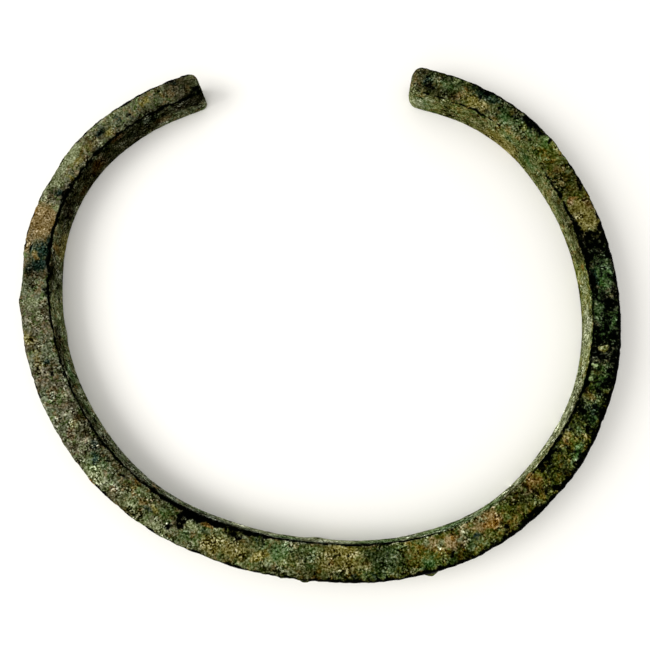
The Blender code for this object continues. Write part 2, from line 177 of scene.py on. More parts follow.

# Stains of the patina. Each is degrees along the bar, place round it (-1 to 0 up the outer face, 0 to 1
# over the top, 1 to 2 down the inner face), length along and breadth across in millimetres, and strength.
# A green_tint turns the crust under it greener, and over_black is crust that stands clear of the black.
# The dark brown and umber stains on the left limb's inner face are dark patina and also painted shade, and
# the pale ones by the left limb's outer edge and on the right limb's inner face are also painted light
STAINS = {
    "black": (
        (117.5, 0.9, 2.4, 1.4, 0.8), (132.5, 0.6, 0.8, 0.7, 0.9), (139.6, 0.4, 0.9, 0.5, 0.8),
        (154, 0.97, 3.2, 0.9, 0.9), (175, 0.97, 3.0, 0.6, 0.8), (192.3, 1.04, 1.1, 0.6, 0.95),
        (194, 0.65, 0.6, 0.5, 0.65), (195.3, 0.98, 1.3, 0.8, 0.95), (206.5, 1.55, 0.9, 0.9, 0.9),
        (206.5, 1.6, 0.7, 0.7, 1.1), (217, 0.8, 1.4, 0.8, 0.65), (222, 0.8, 1.3, 0.7, 0.62),
        (237, 0.32, 0.6, 0.9, 0.9), (239, 0.7, 1.6, 2.2, 1.0), (241.5, 0.98, 2.6, 1.2, 1.0),
        (251.5, 0.78, 3.6, 0.8, 0.75), (274.6, 0.62, 0.5, 0.4, 0.7), (285.5, 0.35, 0.5, 1.4, 0.6),
        (299, 0.28, 1.4, 1.0, 0.85), (311, 0.3, 1.4, 0.9, 0.7), (316.5, 0.12, 5.0, 1.1, 0.85),
        (323, 0.25, 1.8, 0.9, 0.7), (326, 0.9, 2.6, 0.9, 0.95), (329.5, 0.78, 0.9, 0.6, 0.9),
        (330.5, 0.1, 5.0, 0.9, 0.8), (336, 0.3, 1.0, 1.4, 0.95), (339, 0.75, 1.0, 1.8, 0.9),
        (341, 0.16, 3.0, 0.9, 0.7), (346.5, 0.2, 2.4, 1.4, 0.85), (348, 0.99, 4.0, 0.5, 0.9),
        (349, 0.14, 3.6, 1.2, 1.1), (354, 0.35, 3.4, 2.2, 0.8), (354, 0.82, 1.8, 1.4, 0.5),
        (357, 0.1, 4.0, 0.8, 0.7), (361, 0.4, 1.8, 2.6, 0.9), (363.5, 0.12, 2.6, 0.9, 0.75),
        (365, 0.9, 4.0, 0.9, 0.85), (372.6, 0.84, 3.6, 1.6, 1.1), (373, 0.12, 4.4, 1.2, 1.1),
        (373.5, 0.35, 1.8, 2.6, 0.95), (375.6, 0.55, 1.2, 2.0, 0.95), (377.5, 0.92, 3.2, 0.6, 0.85),
        (385.5, 0.95, 1.6, 0.5, 0.9), (386, 0.12, 1.6, 0.7, 0.8), (386.5, 1.0, 3.4, 0.4, 0.9),
        (396.5, 0.1, 1.6, 0.7, 0.7), (399, 0.7, 0.6, 0.5, 0.8), (401.3, 0.13, 2.8, 1.1, 1.1),
        (408.6, 0.4, 0.4, 1.6, 0.7), (412.5, 0.11, 2.6, 0.8, 1.05), (424.5, 0.66, 1.1, 0.8, 0.85),
    ),
    "teal": (
        (118, 0.45, 3.4, 3.0, 0.45), (121.5, 0.2, 1.2, 0.8, 0.6), (129, 1.3, 2.6, 1.6, 0.6),
        (131.5, 0.88, 2.6, 0.9, 0.55), (135, 0.45, 1.4, 1.2, 0.6), (139.6, 0.4, 1.8, 1.0, 0.8),
        (142, 0.92, 3.0, 0.5, 0.6), (154.5, 0.66, 1.5, 1.6, 0.7), (157.5, 0.92, 2.4, 0.6, 0.8),
        (166.5, 0.78, 3.4, 2.0, 1.0), (167.3, 0.3, 1.2, 1.0, 0.8), (170.2, 0.62, 2.0, 2.2, 0.95),
        (171.2, 0.25, 1.6, 1.2, 0.65), (191.5, 0.62, 1.0, 1.0, 0.8), (213, 0.72, 3.0, 1.2, 0.6),
        (215, 0.5, 1.8, 1.4, 0.75), (231.3, 0.5, 1.2, 1.0, 0.7), (244.5, 0.62, 1.4, 1.0, 0.6),
        (258, 0.85, 2.2, 0.9, 0.5), (278.5, 0.2, 1.0, 0.9, 0.7), (283, 0.22, 1.0, 1.0, 0.6),
        (305, 0.5, 1.0, 0.8, 0.8), (340, 0.45, 1.4, 1.2, 0.7), (352, 0.75, 2.4, 1.2, 0.6),
        (367, 0.8, 3.4, 1.2, 0.7), (368, 0.15, 2.2, 0.9, 0.7), (401, 0.22, 3.0, 1.2, 0.6),
        (403.5, 0.28, 1.4, 0.8, 0.7), (412.5, 0.22, 4.0, 1.3, 0.8), (424.5, 0.55, 1.8, 1.4, 0.7),
    ),
    "green": (
        (129, 1.32, 3.0, 1.9, 0.9), (134.5, 1.45, 2.4, 2.0, 0.7), (140.5, 1.15, 1.2, 1.2, 1.1),
        (141, 1.6, 2.4, 1.6, 0.6), (146, 1.25, 1.2, 1.4, 0.6), (151, 1.45, 2.0, 2.0, 0.5),
        (153, 0.3, 2.6, 2.0, 0.55), (161.5, 0.3, 0.8, 0.7, 0.8), (178.5, 0.5, 3.0, 3.0, 0.45),
        (190.5, 0.6, 2.0, 1.2, 0.5), (195, 1.45, 4.0, 2.4, 0.7), (204, 1.5, 3.0, 2.4, 0.6),
        (215.5, 0.55, 5.0, 2.0, 0.55), (235, 0.6, 2.0, 1.4, 0.55), (240.5, 0.3, 2.4, 2.4, 0.5),
        (241, 1.75, 2.0, 1.6, 0.8), (262, 1.5, 3.0, 3.0, 0.7), (263, 0.6, 5.0, 3.0, 0.65),
        (270, 0.6, 4.0, 3.2, 0.55), (284, 1.65, 7.0, 3.2, 1.1), (285, 0.55, 6.0, 3.6, 0.8),
        (292, 1.7, 8.0, 3.2, 0.9), (294.3, 0.28, 1.2, 1.0, 0.95), (298.5, 0.12, 1.4, 0.9, 0.7),
        (302, 1.5, 8.0, 3.8, 0.9), (303, 0.4, 2.0, 1.6, 0.6), (308, 1.7, 9.0, 3.0, 0.9),
        (313, 1.5, 2.0, 3.0, 0.6), (331, 0.25, 2.4, 1.2, 0.8), (335.5, 0.65, 1.4, 1.2, 0.7),
        (338.8, 0.35, 1.4, 1.0, 1.0), (341, 0.6, 6.0, 3.4, 0.6), (346.5, 0.4, 3.8, 2.0, 0.7),
        (348, 1.8, 1.6, 1.6, 0.7), (355, 0.45, 2.0, 2.4, 0.7), (357, 0.5, 7.0, 4.0, 0.7),
        (358.3, 0.2, 1.8, 1.0, 0.95), (359.5, 0.8, 2.8, 1.3, 1.1), (362, 0.8, 3.0, 1.6, 1.0),
        (367.5, 0.45, 5.0, 2.6, 0.9), (373, 0.6, 3.0, 3.0, 0.5), (387, 0.45, 6.0, 3.0, 0.3),
        (396, 1.55, 3.6, 3.4, 0.8), (397, 0.35, 2.0, 2.2, 0.5), (401, 0.55, 3.0, 2.4, 0.5),
        (403, 1.25, 3.0, 1.6, 0.6), (404, 0.3, 8.0, 3.0, 0.6), (405.8, 0.55, 3.0, 2.2, 0.7),
        (421, 0.4, 6.0, 3.2, 0.6), (425, 1.55, 3.0, 3.4, 0.7),
    ),
    "ochre": (
        (124.5, 0.5, 0.7, 0.6, 0.8), (127.4, 0.42, 1.0, 1.1, 0.85), (129, 0.5, 0.6, 0.8, 0.8),
        (137.6, 0.72, 1.4, 0.9, 0.9), (143, 0.5, 4.0, 2.4, 0.45), (147, 0.6, 1.4, 1.2, 0.8),
        (148, 0.45, 5.0, 2.0, 0.5), (150.5, 0.3, 2.0, 1.4, 0.5), (150.6, 0.88, 0.8, 0.9, 0.95),
        (164.5, 1.75, 4.0, 2.2, 1.1), (185.5, 0.18, 2.0, 1.0, 0.85), (190, 0.35, 5.0, 1.6, 0.5),
        (206, 0.6, 1.6, 1.2, 0.6), (225.4, 0.8, 0.8, 1.0, 0.65), (232.2, 0.58, 0.9, 0.9, 0.8),
        (247, 0.4, 2.6, 1.8, 0.9), (252.5, 0.45, 3.6, 1.8, 0.8), (258.4, 0.46, 1.8, 1.0, 0.95),
        (265, 0.45, 3.0, 2.0, 0.5), (273.5, 0.45, 2.4, 1.8, 0.9), (276, 0.82, 4.0, 1.6, 1.0),
        (277, 0.55, 3.4, 2.0, 0.85), (281.2, 0.5, 1.4, 1.4, 0.7), (333, 0.85, 2.4, 0.9, 0.8),
        (334.4, 0.32, 1.2, 1.1, 0.7), (352.3, 0.58, 0.9, 1.1, 0.9), (379.8, 0.52, 4.6, 3.0, 1.0),
        (388, 1.75, 5.0, 2.2, 0.5), (396, 1.75, 5.0, 2.4, 0.6), (402, 0.45, 0.8, 1.6, 0.7),
        (404.5, 1.76, 7.0, 2.8, 1.1), (406, 0.22, 0.8, 0.7, 0.9), (413.8, 0.68, 4.2, 2.0, 0.72),
        (422.3, 0.45, 0.5, 1.8, 0.8),
    ),
    "tan": (
        (160.2, 0.12, 2.6, 1.3, 1.1), (160.8, 0.85, 2.2, 1.0, 0.9), (161.4, 0.45, 4.6, 3.6, 1.0),
        (165.4, 0.12, 2.8, 0.9, 0.95), (168.8, 0.5, 0.8, 0.9, 0.9), (295.6, 0.8, 2.4, 1.4, 0.7),
        (300.3, 0.62, 2.4, 1.8, 0.9), (303.5, 0.85, 3.0, 1.0, 0.6), (308.4, 0.78, 3.4, 1.5, 1.1),
        (334.4, 0.32, 1.4, 1.3, 0.35), (342.4, 0.72, 1.2, 1.0, 0.3), (382.2, 0.18, 1.6, 1.0, 0.8),
        (383.6, 0.68, 0.8, 1.5, 0.9), (416.8, 0.65, 1.6, 1.6, 0.3),
    ),
    # dark brown glaze: dark patina on the left limb's inner face, and painted shade where that face is
    # turned from the light
    "dark_patina_and_wall_shade": (
        (119, 1.25, 5.0, 2.8, 1.3), (119.5, 1.7, 6.0, 2.4, 0.5), (128, 1.3, 8.0, 3.4, 1.0),
        (137, 1.55, 12.0, 4.2, 1.4), (147, 1.55, 12.0, 4.2, 1.2), (155.5, 1.45, 5.6, 3.8, 1.0),
        (171.5, 1.22, 5.0, 1.8, 1.15), (172, 1.6, 12.0, 5.0, 0.5), (189, 1.24, 6.0, 1.8, 1.2),
        (190, 1.6, 14.0, 5.0, 0.5), (206, 1.25, 18.0, 2.6, 0.7), (212, 1.7, 14.0, 4.0, 0.4),
        (224, 1.2, 10.0, 2.2, 0.6),
    ),
    # umber glaze: darker patina in many places, and painted shade on the left limb's inner face
    "umber_and_wall_shade": (
        (118, 1.3, 5.0, 3.0, 0.8), (118.5, 0.5, 3.6, 3.6, 0.8), (122, 0.2, 4.0, 1.6, 0.6),
        (124, 0.45, 3.6, 2.6, 0.65), (159, 1.5, 6.0, 4.0, 0.85), (172.5, 0.3, 3.0, 2.4, 0.7),
        (208, 0.3, 4.0, 1.2, 0.35), (209, 0.82, 8.0, 1.7, 0.8), (220, 0.88, 6.0, 1.2, 0.8),
        (226.5, 0.1, 3.0, 1.0, 0.7), (228, 1.7, 5.0, 3.0, 0.45), (230, 0.3, 1.4, 1.2, 0.8),
        (234, 0.88, 5.0, 1.2, 0.7), (261.5, 0.1, 4.0, 1.2, 0.9), (262, 0.12, 6.0, 1.2, 0.5),
        (276, 0.14, 10.0, 1.2, 0.6), (284.5, 0.6, 6.0, 3.6, 0.75), (290, 0.16, 8.0, 1.2, 0.6),
        (300, 0.12, 4.0, 1.4, 0.9), (309, 0.08, 4.0, 1.0, 0.4), (315, 0.5, 5.0, 3.6, 0.5),
        (316, 1.2, 5.0, 2.2, 0.9), (318, 0.12, 6.0, 1.4, 0.6), (318.5, 0.75, 5.0, 2.6, 0.75),
        (341, 1.25, 4.0, 2.0, 0.8), (344, 1.3, 7.0, 2.6, 0.25), (373, 1.3, 3.0, 3.0, 0.9),
        (374.5, 1.35, 3.0, 2.4, 0.7), (377.5, 1.3, 5.0, 3.0, 0.9), (383, 1.4, 7.0, 3.0, 0.7),
        (386, 0.16, 8.0, 1.3, 0.9), (388, 0.5, 6.0, 4.0, 0.7), (389, 0.95, 6.0, 1.0, 0.8),
        (403, 1.2, 4.0, 1.4, 0.3), (404, 0.2, 6.0, 1.6, 0.7), (413, 1.6, 6.0, 4.0, 0.6),
        (413, 1.25, 5.0, 2.4, 0.65), (416, 0.15, 5.0, 1.6, 0.9), (418.5, 1.7, 2.2, 3.0, 1.1),
        (420, 1.25, 3.0, 2.0, 0.6), (421.5, 0.82, 5.0, 1.7, 1.1), (422, 0.12, 6.0, 1.6, 0.85),
    ),
    "rust": (
        (124, 0.62, 0.8, 0.8, 0.6), (126, 1.6, 3.0, 1.6, 0.6), (137, 1.15, 2.4, 1.2, 0.9),
        (144.5, 1.55, 3.0, 2.6, 0.9), (146.5, 0.05, 4.0, 0.4, 0.8), (151, 1.75, 2.0, 1.4, 0.7),
        (160.5, 0.02, 5.0, 0.3, 0.7), (166, 1.35, 1.6, 1.6, 0.7), (186.5, 1.4, 1.4, 1.4, 0.6),
        (198.2, 1.45, 0.8, 1.1, 0.62), (218, -0.05, 1.0, 0.7, 0.9), (225.2, 0.98, 0.8, 0.6, 0.6),
        (227.5, 0.08, 2.4, 0.6, 0.6), (228.5, 1.6, 1.4, 1.2, 0.6), (230.2, 0.3, 0.6, 0.7, 0.7),
        (245, 0.86, 2.0, 0.5, 0.75), (249, 0.95, 1.6, 0.5, 0.5), (270.5, 0.05, 1.6, 0.5, 0.6),
        (274, 0.5, 1.4, 1.2, 0.45), (281.5, 0.5, 1.0, 0.9, 0.4), (291, 0.5, 3.6, 2.4, 0.42),
        (300.3, 0.72, 0.7, 0.7, 0.9), (308.8, 0.68, 2.8, 1.4, 0.75), (312.5, 0.3, 4.0, 1.6, 0.45),
        (320.6, 0.8, 3.0, 1.8, 0.7), (321.6, 1.15, 1.0, 1.6, 0.8), (331.6, 0.7, 0.9, 1.2, 0.65),
        (342.4, 0.72, 1.8, 1.6, 0.55), (345.2, 0.8, 0.8, 0.6, 0.7), (357.5, 1.05, 1.2, 0.5, 0.7),
        (370, 1.25, 0.7, 1.2, 0.65), (374, 1.7, 1.0, 1.2, 0.4), (383.8, 0.6, 0.7, 1.4, 0.7),
        (390.5, 0.55, 2.6, 1.6, 0.4), (394.2, 0.66, 1.6, 1.4, 0.35), (416.9, 0.36, 0.7, 0.7, 0.65),
        (417.4, 0.72, 0.8, 1.0, 0.6),
    ),
    # pale crust; its thin stains by the left limb's outer edge are painted highlight, and those on the
    # right limb's inner face painted light
    "pale_crust_and_light": (
        (117.6, 0.12, 1.0, 1.0, 0.6), (136, 0.15, 6.0, 1.2, 0.5), (140.6, 0.9, 0.6, 0.6, 0.9),
        (149.5, 0.15, 7.0, 1.5, 1.25), (157.7, 0.7, 0.6, 0.7, 1.0), (171.5, 1.6, 2.2, 1.6, 0.7),
        (178.5, 0.35, 2.4, 2.0, 0.6), (181, 0.5, 3.0, 2.0, 0.55), (199.5, 0.72, 1.8, 1.0, 0.6),
        (204, 0.6, 1.2, 0.9, 0.55), (206.6, 0.64, 0.8, 0.6, 0.9), (208.5, 0.2, 0.8, 0.5, 0.8),
        (211, 0.47, 1.4, 1.2, 0.6), (213.2, 0.42, 0.5, 0.5, 0.9), (216, 0.1, 2.0, 0.7, 0.7),
        (216.5, 0.22, 4.4, 1.7, 0.85), (228, 0.2, 5.0, 1.4, 0.55), (228.5, 1.02, 0.6, 0.9, 1.1),
        (235.5, 0.2, 2.4, 1.4, 0.9), (241, 1.85, 6.0, 1.4, 0.55), (241.5, 0.66, 2.0, 1.0, 0.8),
        (247, 0.88, 0.8, 0.6, 0.9), (250, 1.85, 8.0, 1.4, 0.45), (254.3, 0.8, 1.0, 0.6, 0.9),
        (259.5, 0.88, 1.4, 0.5, 0.7), (261, 1.75, 9.0, 2.4, 1.3), (263.8, 0.42, 0.5, 0.5, 0.6),
        (268, 1.8, 20.0, 2.6, 1.2), (276, 1.2, 0.6, 2.4, 0.9), (283, 1.78, 14.0, 2.4, 1.05),
        (287.5, 0.92, 1.6, 0.6, 0.7), (290.5, 1.3, 1.4, 2.4, 0.7), (294.6, 0.84, 1.2, 0.8, 1.0),
        (296, 1.72, 8.0, 2.6, 0.8), (297.5, 0.7, 1.4, 1.0, 0.6), (301.5, 0.6, 0.9, 0.9, 0.7),
        (303, 0.72, 1.6, 1.2, 0.6), (307.6, 0.86, 2.8, 0.9, 0.5), (309, 1.75, 8.0, 2.4, 0.8),
        (318, 1.75, 5.0, 2.4, 0.7), (325, 1.75, 4.0, 2.0, 0.9), (329, 1.8, 7.0, 2.0, 1.0),
        (331.7, 0.25, 0.5, 0.4, 0.6), (332, 1.35, 5.0, 2.0, 0.6), (333, 1.7, 2.6, 1.6, 0.9),
        (334.4, 0.88, 0.9, 0.5, 0.9), (338, 1.75, 5.0, 2.6, 1.0), (340, 1.75, 6.0, 3.4, 1.7),
        (345.8, 0.81, 0.7, 0.5, 1.1), (347.2, 0.82, 0.6, 0.4, 1.0), (348.5, 0.8, 0.5, 0.4, 1.0),
        (348.5, 1.4, 2.4, 1.6, 0.7), (349.9, 0.82, 0.5, 0.4, 0.9), (352.3, 0.58, 0.5, 0.6, 0.7),
        (356, 1.5, 8.0, 4.0, 0.8), (361.2, 0.85, 0.8, 0.4, 0.8), (366, 1.5, 4.0, 3.0, 0.6),
        (376.5, 1.6, 2.0, 1.6, 0.8), (396.8, 0.25, 0.4, 0.8, 0.7), (410, 1.6, 1.6, 1.6, 0.5),
        (417.2, 0.16, 1.0, 0.5, 0.9), (419.2, 0.2, 0.6, 0.6, 1.0), (422.6, 0.48, 0.4, 1.2, 0.7),
        (423.5, 1.3, 1.6, 1.6, 0.7), (427, 1.7, 3.0, 3.0, 0.8),
    ),
    "green_tint": (
        (129, 1.32, 3.0, 1.9, 0.9), (167, 0.6, 3.0, 2.4, 0.6), (193, 1.45, 3.0, 2.0, 0.8),
        (203.5, 1.45, 2.4, 2.0, 0.7), (215.5, 0.45, 3.6, 2.6, 0.5), (235, 0.72, 2.6, 1.8, 0.9),
        (240, 1.7, 3.0, 1.6, 0.5), (257.5, 0.8, 2.8, 1.6, 0.6), (262.5, 0.65, 3.2, 2.2, 0.5),
        (263, 1.5, 3.4, 2.8, 0.8), (281.5, 0.25, 1.6, 1.0, 0.6), (285, 1.65, 6.6, 3.6, 0.85),
        (287, 0.75, 3.0, 1.4, 0.6), (294.3, 0.22, 1.8, 1.6, 0.75), (299, 0.15, 2.0, 1.2, 0.8),
        (299.5, 1.55, 6.6, 3.8, 0.82), (311, 1.55, 4.4, 3.6, 0.7), (331, 0.28, 2.8, 1.6, 0.8),
        (338.5, 0.35, 2.4, 1.8, 1.1), (341.5, 0.2, 1.6, 1.0, 0.8), (346, 0.55, 4.0, 2.6, 0.8),
        (355, 0.6, 3.0, 2.6, 0.8), (358.5, 0.3, 2.0, 1.8, 0.8), (367, 0.62, 4.4, 3.4, 0.65),
        (371, 0.35, 2.0, 2.0, 0.8), (396, 1.55, 3.6, 3.4, 0.7), (396.5, 0.45, 2.6, 3.4, 0.7),
        (402, 0.3, 3.0, 2.0, 0.7), (407, 0.55, 2.4, 2.6, 0.65), (413.5, 0.15, 4.0, 1.4, 0.9),
        (419, 0.2, 2.6, 1.4, 0.6),
    ),
    "over_black": (
        (308, 0.74, 3.0, 1.4, 0.8), (334.4, 0.32, 1.1, 1.1, 0.8), (342.4, 0.66, 1.6, 1.4, 0.5),
        (345.8, 0.81, 0.6, 0.4, 1.0), (347.2, 0.82, 0.5, 0.3, 1.0), (348.5, 0.8, 0.4, 0.3, 0.9),
        (349.9, 0.82, 0.4, 0.3, 0.8), (352.3, 0.58, 0.8, 0.9, 1.0), (359.6, 0.8, 2.4, 1.2, 0.85),
        (361.2, 0.85, 1.2, 0.6, 0.7), (396.8, 0.25, 0.5, 0.9, 0.8), (417.2, 0.16, 1.1, 0.6, 0.9),
        (419.2, 0.2, 0.8, 0.7, 0.9),
    ),
}

# How much of the top black mottles cover, by degrees along the bar, and how soon they fade down the inner
# face
MOTTLE = (
    (116, 0.24), (130, 0.20), (150, 0.12), (180, 0.11), (205, 0.18), (225, 0.17),
    (240, 0.20), (260, 0.22), (280, 0.28), (300, 0.30), (314, 0.34), (325, 0.44),
    (345, 0.50), (352, 0.60), (357, 0.64), (363, 0.49), (370, 0.50), (374, 0.56),
    (379, 0.22), (390, 0.25), (400, 0.30), (428, 0.38),
)
MOTTLE_FADE = 0.25 * MM

# How strong the black patina and painted shade along the inner edge are beside those along the outer one
INNER_BAND_STRENGTH = 0.9

# How far black reaches from the top's outer edge, from its inner edge, and down the inner face from that
# edge, in millimetres by degrees along the bar. The black is dark patina and also painted shade on the
# rounded edges turned away from the light, widest along the right limb's outer edge
OUTER_BAND = (
    (116, 0.28), (146, 0.22), (158, 0.12), (205, 0.09), (248, 0.16), (257, 0.24),
    (268, 0.24), (276, 0.38), (290, 0.42), (300, 0.40), (308, 0.44), (322, 0.50),
    (345, 0.50), (355, 0.36), (372, 0.50), (379, 0.30), (388, 0.22), (397, 0.10),
    (401, 0.55), (406, 0.28), (412, 0.36), (420, 0.26), (428, 0.20),
)
INNER_BAND = (
    (116, 0.50), (122, 0.10), (148, 0.12), (153, 0.50), (160, 0.22), (168, 0.40),
    (176, 0.22), (184, 0.08), (200, 0.06), (214, 0.22), (226, 0.12), (234, 0.25),
    (240, 0.75), (250, 0.48), (258, 0.30), (264, 0.08), (290, 0.08), (322, 0.04),
    (326, 0.50), (334, 0.25), (352, 0.42), (358, 0.12), (366, 0.45), (378, 0.45),
    (386, 0.16), (395, 0.04), (408, 0.04), (412, 0.28), (420, 0.12), (428, 0.20),
)
INNER_BAND_DOWN = (
    (116, 0.40), (155, 0.55), (165, 0.35), (190, 0.45), (205, 0.50), (224, 0.50),
    (231, 1.40), (244, 1.60), (256, 1.20), (266, 0.98), (280, 0.90), (287, 1.00),
    (293, 0.30), (300, 0.10), (321, 0.10), (326, 0.60), (342, 0.55), (350, 0.20),
    (370, 0.12), (376, 0.38), (391, 0.22), (396, 0.04), (410, 0.12), (418, 0.15),
    (428, 0.04),
)

# How far the ground turns from grey olive to brown olive on the top, and from dull green to yellow green
# on the inner face
EARTH = (
    (116, 0.10), (130, 0.20), (170, 0.05), (220, 0.10), (226, 0.45), (240, 0.35),
    (252, 0.70), (264, 0.50), (275, 1.00), (345, 1.00), (351, 0.12), (370, 0.12),
    (380, 0.90), (394, 1.00), (400, 0.62), (415, 0.62), (428, 0.40),
)
INNER_EARTH = (
    (116, 0.25), (160, 0.42), (200, 0.36), (240, 0.00), (280, 0.05), (292, 0.30),
    (305, 0.45), (320, 0.60), (332, 0.70), (340, 0.42), (350, 0.88), (370, 0.90),
    (380, 0.60), (392, 0.65), (405, 0.75), (412, 0.70), (420, 0.80), (428, 0.60),
)

# How strongly the grains show, on the top and on the inner face
GRAIN = (
    (116, 0.62), (150, 0.68), (180, 0.82), (205, 1.05), (240, 1.02), (280, 0.97),
    (300, 0.92), (335, 1.05), (365, 0.95), (390, 0.92), (428, 0.88),
)
INNER_GRAIN = (
    (116, 0.75), (180, 0.75), (200, 0.85), (225, 0.95), (250, 1.10), (300, 1.05),
    (335, 1.10), (360, 0.85), (378, 0.65), (428, 0.60),
)

# Colours of the crust as a painter reads them, from 0 to 255. The umber, the green tint and the dark brown
# are glazes, which tint what lies under them; the two browns also lay painted shade on the left limb's
# inner face
TONES = {
    "grey_brown": (79, 75, 57), "grey_olive": (75, 81, 61),
    "brown_olive": (60, 66, 16), "dull_green": (77, 85, 67),
    "yellow_green": (86, 91, 37), "warm_grain": (97, 81, 54),
    "warm_grain_in_earth": (98, 79, 20), "cool_grain": (66, 82, 39),
    "light_grain": (134, 134, 102), "light_grain_in_earth": (112, 110, 54),
    "green": (61, 80, 45), "teal": (18, 36, 28),
    "ochre": (96, 90, 42), "tan": (114, 97, 61),
    "rust": (104, 76, 22), "pale_crust_and_light": (115, 121, 87),
    "umber_and_wall_shade": (150, 147, 114), "green_tint": (226, 255, 220),
    "dark_patina_and_wall_shade": (88, 84, 54), "pore": (22, 22, 14),
    "black": (1, 2, 1),
}

# How ragged and how soft the border of each kind of patch is
PATCHES = {
    "green": (1.5, 0.30), "teal": (1.3, 0.22), "ochre": (1.6, 0.30),
    "tan": (1.3, 0.25), "rust": (1.5, 0.30), "pale_crust_and_light": (1.6, 0.22),
    "umber_and_wall_shade": (1.2, 0.30), "green_tint": (1.4, 0.30), "dark_patina_and_wall_shade": (1.6, 0.30),
    "mottle": (1.5, 0.10), "black": (1.3, 0.12), "edge_black_and_shade": (2.2, 0.18),
    "over_black": (1.0, 0.20),
}

# The crusts that lie on the ground, from the lowest to the highest. The pale crust is also painted
# highlight on the left limb's outer edge and painted light on the right limb's inner face
CRUSTS = ("green", "teal", "ochre", "tan", "rust", "pale_crust_and_light")

# Noises of the patina: size of the features in millimetres, detail, roughness and distortion
NOISES = {
    "broad": (3.2, 3.0, 0.55, 0.0),
    "rough_patches": (1.4, 2.0, 0.55, 0.0),
    "mottles": (1.1, 6.0, 0.75, 0.6),
    "middling": (0.9, 4.0, 0.65, 0.0),
    "cool_grains": (0.85, 3.0, 0.7, 0.3),
    "streaks": (0.8, 3.0, 0.7, 0.5),
    "warm_grains": (0.75, 3.0, 0.7, 0.3),
    "breakup": (0.7, 5.0, 0.75, 0.4),
    "specks": (0.42, 3.0, 0.65, 0.0),
    "pores": (0.36, 3.0, 0.7, 0.5),
    "fine": (0.30, 3.0, 0.7, 0.0),
    "light_grains": (0.24, 2.0, 0.6, 0.0),
    "finest": (0.20, 2.0, 0.6, 0.0),
}

# How noises and fields become amounts: the two values between which they set in, and the amounts before
# and after
MASKS = {
    "broad": (0.38, 0.62, 0.0, 1.0),
    "warm_grains": (0.50, 0.64, 0.0, 0.70),
    "cool_grains": (0.52, 0.64, 0.0, 0.80),
    "light_grains": (0.60, 0.72, 0.0, 0.50),
    "rough_patches": (0.45, 0.68, 0.72, 1.70),
    "pores": (0.58, 0.68, 0.0, 1.0),
    "specks": (0.55, 0.65, 1.0, 0.52),
}
CLEAR_OF_BLACK = (0.0, 1.0, 1.0, 0.0)
DARK_HOLLOWS = (0.15, 0.50, -0.36, 0.0)
PORES_BY_FACE = (0.0, 1.0, 0.85, 0.40)
BARE_METAL_BY_FACE = (0.0, 0.5, 0.60, 0.0)
DULL_TO_MATT = (0.35, 0.65, 0.50, 0.85)

# How far noises swing the tone of the crust and the shade of its grains, and the share of that shade which
# the darkest and the lightest tone take
BROAD_SWING = 1.8
FINEST_SWING = 5.0
MIDDLING_SWING = 1.8
STREAK_SWING = 4.0
STREAK_GRAIN_SWING = 0.8
GRAIN_STEPS = (0.17, 0.57)

# The fine relief left to the shader: depth, strength, and the shares of its two noises
FINE_RELIEF = 0.05 * MM
FINE_RELIEF_STRENGTH = 0.5
FINE_SHARE = 0.6
FINEST_SHARE = 0.4

# The camera, at the photograph's place
CAMERA_PLACE = (4.72 * MM, -15.15 * MM, 86.4 * MM)
CAMERA_TURN = (9.44, 2.37, 0.20)
SENSOR = 36.0
LENS = 42.37
CLIP_START = 1.0 * MM

# The floor, the light all round, and the soft windows: place, side and power
FLOOR_SIDE = 1.6
FLOOR_COLOUR = (0.88, 0.87, 0.84)
FLOOR_ROUGHNESS = 0.9
FLOOR_GLOSS = 0.1
DAYLIGHT = (1.0, 0.99, 0.97)
SKY_STRENGTH = 0.82
WINDOWS = {
    "window": ((-0.36, -0.06, 0.34), 0.30, 1.5),
    "near_window": ((-0.16, -0.30, 0.40), 0.36, 0.55),
}

# The power that turns light into what the eye sees
EYE_GAMMA = 2.2


def srgb(red, green, blue):
    """A colour as a painter reads it from 0 to 255, as the light it gives back."""
    found = []
    for value in (red, green, blue):
        share = value / 255
        found.append(share / 12.92 if share <= 0.04045 else ((share + 0.055) / 1.055) ** 2.4)
    return (*found, 1.0)


# The form of the bar


def smooth_values(places, where):
    """The values at where on a smooth curve through (position, value) pairs in rising order."""
    spots, values = np.array(places, float).T
    where = np.clip(where, spots[1], spots[-2])
    after = np.clip(np.searchsorted(spots, where), 2, len(spots) - 2)
    before = after - 1
    span = spots[after] - spots[before]
    part = (where - spots[before]) / span
    slopes = [
        (values[i + 1] - values[i - 1]) / (spots[i + 1] - spots[i - 1]) * span for i in (before, after)
    ]
    return (
        (2 * part**3 - 3 * part**2 + 1) * values[before]
        + (part**3 - 2 * part**2 + part) * slopes[0]
        + (3 * part**2 - 2 * part**3) * values[after]
        + (part**3 - part**2) * slopes[1]
    )


def closed_round(places):
    """The places of a full turn, repeated on both sides so that the curve through them closes."""
    before = [(angle - FULL_TURN, value) for angle, value in places[-3:]]
    after = [(angle + FULL_TURN, value) for angle, value in places[:3]]
    return before + list(places) + after


def with_ends(places):
    """The places of an open curve, with its first and last repeated a little further out."""
    first = (2 * places[0][0] - places[1][0], places[0][1])
    last = (2 * places[-1][0] - places[-2][0], places[-1][1])
    return [first] + list(places) + [last]


def oval_shape(angles):
    """The outer edge at each angle, before it is brought to its width and depth."""
    reach = smooth_values(closed_round(OVAL), angles % FULL_TURN)
    turn = np.radians(angles)
    return np.stack([reach * np.cos(turn), reach * np.sin(turn), np.zeros_like(turn)], axis=-1)


def oval_scale():
    """What brings the oval to its width and depth."""
    points = oval_shape(LEFT_END + SWEEP * np.linspace(0, 1, 133))
    across, along = (points.max(axis=0) - points.min(axis=0))[:2]
    return np.array([WIDTH / across, DEPTH / along, 1.0])


